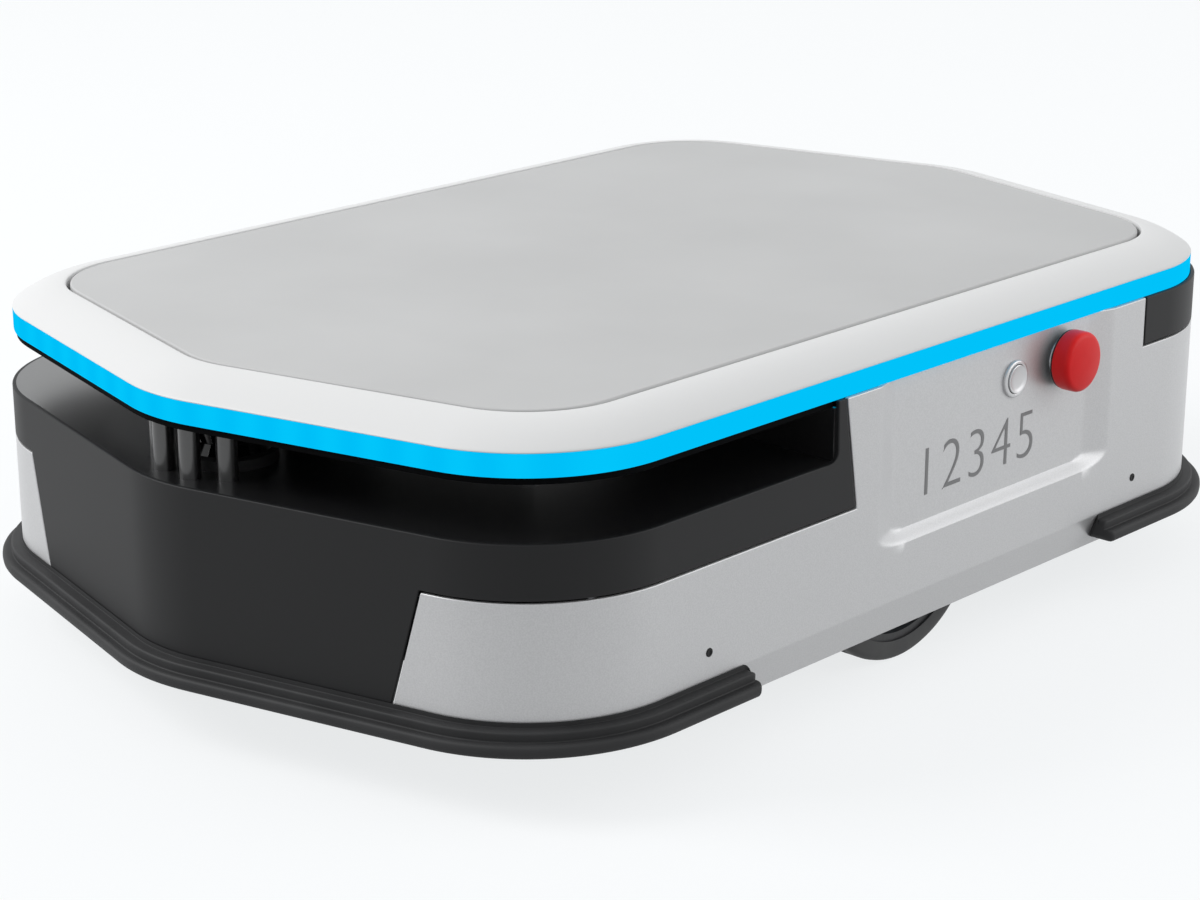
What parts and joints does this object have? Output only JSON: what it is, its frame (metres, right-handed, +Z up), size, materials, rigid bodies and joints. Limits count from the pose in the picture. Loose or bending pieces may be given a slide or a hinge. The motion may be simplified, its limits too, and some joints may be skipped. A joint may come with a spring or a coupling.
{
  "type": "autonomous mobile robot",
  "caption": "Low wheeled transport robot with a lifting load plate, light ring, scanner slot, rubber bumpers and emergency stops.",
  "frame": {"origin": "on the floor, under the centre of the robot", "axes": "+Z up; the front, with the scanner, faces -Y; the power button is on the +X side"},
  "size_m": [0.698, 1.024, 0.279],
  "materials": {
    "cover_black": "moulded, satin",
    "panel_silver": "satin silver paint on sheet",
    "light_cyan": "diffusing light guide, lit",
    "trim_dark": "moulded",
    "cast_aluminium": "cast and machined",
    "bezel_white": "satin moulded",
    "bronze": "machined",
    "scanner_black": "moulded",
    "scanner_glass": "polished dark window",
    "chassis_steel": "black powder coat on folded steel",
    "bumper_rubber": "matt extruded rubber",
    "stop_red": "moulded",
    "bright_ring": "polished",
    "motor_housing": "black anodised",
    "tyre_rubber": "matt polyurethane rubber",
    "spring_rubber": "matt",
    "plate_grey": "fine textured grey paint",
    "machined_steel": "machined",
    "caster_tread": "cast polyurethane",
    "battery_case": "moulded case"
  },
  "bodies": {
    "chassis": {"base_plate": "chassis_steel", "battery_pack": "battery_case", "bumper_carriers": "chassis_steel", "bumper_front": "bumper_rubber", "bumper_rear": "bumper_rubber", "caster_deck_front": "chassis_steel", "caster_deck_rear": "chassis_steel", "caster_plates": "machined_steel", "charge_block": "battery_case", "charge_contacts": "bronze", "controller": "battery_case", "deck_bezel": "bezel_white", "deck_frame": "cast_aluminium", "deck_trim": "trim_dark", "frame_posts": "chassis_steel", "front_cover": "cover_black", "guide_bushes": "bronze", "lift_belt": "spring_rubber", "lift_motor": "motor_housing", "light_strip": "light_cyan", "power_ring": "bright_ring", "rear_cover": "cover_black", "scanner_base": "scanner_black", "scanner_cap": "scanner_black", "scanner_window": "scanner_glass", "screw_bearings": "machined_steel", "side_panel_left": "panel_silver", "side_panel_right": "panel_silver", "slot_tray": "cover_black", "spring_left": "spring_rubber", "spring_right": "spring_rubber", "stop_bases": "cover_black", "suspension_brackets": "chassis_steel"},
    "lift": {"load_plate": "plate_grey", "lift_legs": "machined_steel", "lift_nuts": "bronze"},
    "screw_front_right": {"lift_screw_front_right": "machined_steel"},
    "screw_front_left": {"lift_screw_front_left": "machined_steel"},
    "screw_rear_right": {"lift_screw_rear_right": "machined_steel"},
    "screw_rear_left": {"lift_screw_rear_left": "machined_steel"},
    "belt_drive": {"motor_pulley": "machined_steel"},
    "suspension_right": {"arm_right": "cast_aluminium", "gearmotor_right": "motor_housing"},
    "drive_wheel_right": {"wheel_hub_right": "cast_aluminium", "tyre_right": "tyre_rubber"},
    "suspension_left": {"arm_left": "cast_aluminium", "gearmotor_left": "motor_housing"},
    "drive_wheel_left": {"wheel_hub_left": "cast_aluminium", "tyre_left": "tyre_rubber"},
    "swivel_front_right": {"caster_fork_front_right": "machined_steel"},
    "roller_front_right": {"caster_wheel_front_right": "caster_tread"},
    "swivel_front_left": {"caster_fork_front_left": "machined_steel"},
    "roller_front_left": {"caster_wheel_front_left": "caster_tread"},
    "swivel_rear_right": {"caster_fork_rear_right": "machined_steel"},
    "roller_rear_right": {"caster_wheel_rear_right": "caster_tread"},
    "swivel_rear_left": {"caster_fork_rear_left": "machined_steel"},
    "roller_rear_left": {"caster_wheel_rear_left": "caster_tread"},
    "stop_right": {"stop_head_right": "stop_red"},
    "stop_left": {"stop_head_left": "stop_red"},
    "button": {"power_button": "bright_ring"}
  },
  "joints": [
    {"name": "lift_slide", "type": "slide", "parent": "chassis", "child": "lift", "axis": [0, 0, 1], "range_m": [0, 0.06]},
    {"name": "screw_turn_front_right", "type": "hinge", "parent": "chassis", "child": "screw_front_right", "pos_m": [0.17, -0.225, 0.16], "axis": [0, 0, 1], "range_deg": [-10, 2170]},
    {"name": "screw_turn_front_left", "type": "hinge", "parent": "chassis", "child": "screw_front_left", "pos_m": [-0.17, -0.225, 0.16], "axis": [0, 0, 1], "range_deg": [-10, 2170]},
    {"name": "screw_turn_rear_right", "type": "hinge", "parent": "chassis", "child": "screw_rear_right", "pos_m": [0.17, 0.225, 0.16], "axis": [0, 0, 1], "range_deg": [-10, 2170]},
    {"name": "screw_turn_rear_left", "type": "hinge", "parent": "chassis", "child": "screw_rear_left", "pos_m": [-0.17, 0.225, 0.16], "axis": [0, 0, 1], "range_deg": [-10, 2170]},
    {"name": "motor_pulley_turn", "type": "hinge", "parent": "chassis", "child": "belt_drive", "pos_m": [0, 0.242, 0.16], "axis": [0, 0, 1], "range_deg": [-10, 2170]},
    {"name": "suspension_right", "type": "hinge", "parent": "chassis", "child": "suspension_right", "pos_m": [0.232, -0.135, 0.09], "axis": [1, 0, 0], "range_deg": [-2, 3], "stiffness_Nm_per_rad": 400, "springref_deg": -2.29, "deforming": ["spring_right"]},
    {"name": "drive_wheel_right", "type": "hinge", "parent": "suspension_right", "child": "drive_wheel_right", "pos_m": [0.278, 0, 0.1], "axis": [1, 0, 0], "continuous": true},
    {"name": "suspension_left", "type": "hinge", "parent": "chassis", "child": "suspension_left", "pos_m": [-0.232, -0.135, 0.09], "axis": [1, 0, 0], "range_deg": [-2, 3], "stiffness_Nm_per_rad": 400, "springref_deg": -2.29, "deforming": ["spring_left"]},
    {"name": "drive_wheel_left", "type": "hinge", "parent": "suspension_left", "child": "drive_wheel_left", "pos_m": [-0.278, 0, 0.1], "axis": [1, 0, 0], "continuous": true},
    {"name": "caster_swivel_front_right", "type": "hinge", "parent": "chassis", "child": "swivel_front_right", "pos_m": [0.22, -0.345, 0.095], "axis": [0, 0, 1], "continuous": true},
    {"name": "caster_roll_front_right", "type": "hinge", "parent": "swivel_front_right", "child": "roller_front_right", "pos_m": [0.22, -0.32, 0.0375], "axis": [1, 0, 0], "continuous": true},
    {"name": "caster_swivel_front_left", "type": "hinge", "parent": "chassis", "child": "swivel_front_left", "pos_m": [-0.22, -0.345, 0.095], "axis": [0, 0, 1], "continuous": true},
    {"name": "caster_roll_front_left", "type": "hinge", "parent": "swivel_front_left", "child": "roller_front_left", "pos_m": [-0.22, -0.32, 0.0375], "axis": [1, 0, 0], "continuous": true},
    {"name": "caster_swivel_rear_right", "type": "hinge", "parent": "chassis", "child": "swivel_rear_right", "pos_m": [0.22, 0.345, 0.095], "axis": [0, 0, 1], "continuous": true},
    {"name": "caster_roll_rear_right", "type": "hinge", "parent": "swivel_rear_right", "child": "roller_rear_right", "pos_m": [0.22, 0.37, 0.0375], "axis": [1, 0, 0], "continuous": true},
    {"name": "caster_swivel_rear_left", "type": "hinge", "parent": "chassis", "child": "swivel_rear_left", "pos_m": [-0.22, 0.345, 0.095], "axis": [0, 0, 1], "continuous": true},
    {"name": "caster_roll_rear_left", "type": "hinge", "parent": "swivel_rear_left", "child": "roller_rear_left", "pos_m": [-0.22, 0.37, 0.0375], "axis": [1, 0, 0], "continuous": true},
    {"name": "stop_push_right", "type": "slide", "parent": "chassis", "child": "stop_right", "axis": [-1, 0, 0], "range_m": [0, 0.004]},
    {"name": "stop_push_left", "type": "slide", "parent": "chassis", "child": "stop_left", "axis": [1, 0, 0], "range_m": [0, 0.004]},
    {"name": "power_push", "type": "slide", "parent": "chassis", "child": "button", "axis": [-1, 0, 0], "range_m": [0, 0.0015], "stiffness_N_per_m": 600, "springref_m": -0.001}
  ],
  "couplings": [
    {"joint": "screw_turn_front_right", "follows": "lift_slide", "rad_per_m": 628.32},
    {"joint": "screw_turn_front_left", "follows": "lift_slide", "rad_per_m": 628.32},
    {"joint": "screw_turn_rear_right", "follows": "lift_slide", "rad_per_m": 628.32},
    {"joint": "screw_turn_rear_left", "follows": "lift_slide", "rad_per_m": 628.32},
    {"joint": "motor_pulley_turn", "follows": "lift_slide", "rad_per_m": 628.32}
  ]
}
